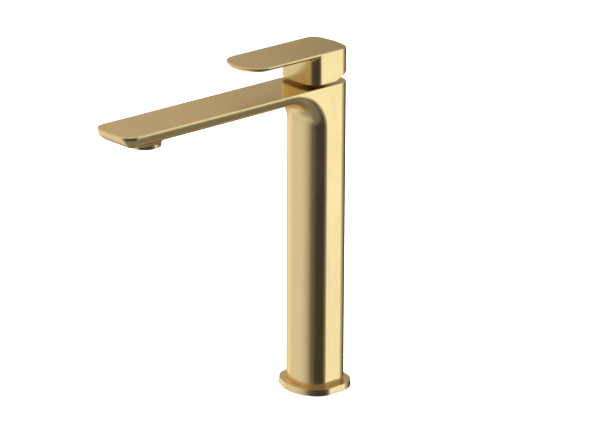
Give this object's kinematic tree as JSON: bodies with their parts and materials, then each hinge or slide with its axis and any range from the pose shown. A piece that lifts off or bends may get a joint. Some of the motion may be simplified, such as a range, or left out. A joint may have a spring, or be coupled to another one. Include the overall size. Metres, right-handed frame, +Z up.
{
  "type": "bathroom mixer faucet",
  "caption": "Tall single-lever basin mixer: rounded-square column on a flanged foot, long flat spout with an aerator, and a flat lever that lifts for flow and turns for temperature.",
  "frame": {"origin": "on the axis of the column, at the underside of the base flange where it meets the deck", "axes": "+Z up, the spout points towards -Y, +X is on the right of a person who stands in front of the spout and looks at the column"},
  "size_m": [0.0564, 0.2444, 0.2995],
  "materials": {
    "brushed_gold": "satin",
    "raw_brass": "satin",
    "stem_brass": "satin",
    "pin_steel": "satin",
    "disc_ceramic": "satin",
    "cartridge_plastic": "satin",
    "limiter_plastic": "satin",
    "aerator_plastic": "satin",
    "seal_rubber": "matte"
  },
  "bodies": {
    "mixer": {"mixer_body": "brushed_gold", "base_flange": "brushed_gold", "base_seal_ring": "seal_rubber", "inlet_block": "raw_brass", "hot_riser_tube": "raw_brass", "hot_riser_seal": "seal_rubber", "hot_port_seal": "seal_rubber", "cold_riser_tube": "raw_brass", "cold_riser_seal": "seal_rubber", "cold_port_seal": "seal_rubber", "cartridge_base": "cartridge_plastic", "fixed_ceramic_disc": "disc_ceramic", "cartridge_housing": "cartridge_plastic", "housing_seal": "seal_rubber", "temperature_limiter_ring": "limiter_plastic", "cartridge_retaining_nut": "raw_brass", "cartridge_trim_ring": "brushed_gold", "aerator_collar": "brushed_gold", "aerator_gasket": "seal_rubber", "aerator_insert": "aerator_plastic", "flow_regulator": "aerator_plastic"},
    "turret_head": {"turret": "cartridge_plastic", "turret_seal": "seal_rubber", "stem_pin": "pin_steel"},
    "slider": {"moving_ceramic_disc": "disc_ceramic", "disc_carrier": "cartridge_plastic"},
    "lever": {"stem": "stem_brass", "stem_adapter": "cartridge_plastic", "lever_handle": "brushed_gold", "handle_grub_screw": "pin_steel", "handle_screw_cap": "brushed_gold"}
  },
  "joints": [
    {"name": "temperature_turn", "type": "hinge", "parent": "mixer", "child": "turret_head", "pos_m": [0, 0, 0.257], "axis": [0, 0, 1], "range_deg": [-50, 50]},
    {"name": "lever_lift", "type": "hinge", "parent": "turret_head", "child": "lever", "pos_m": [0, 0, 0.257], "axis": [-1, 0, 0], "range_deg": [0, 22]},
    {"name": "disc_slide", "type": "slide", "parent": "turret_head", "child": "slider", "axis": [0, -1, 0], "range_m": [0, 0.0062]}
  ],
  "couplings": [
    {"joint": "disc_slide", "follows": "lever_lift", "m_per_rad": 0.0158}
  ]
}
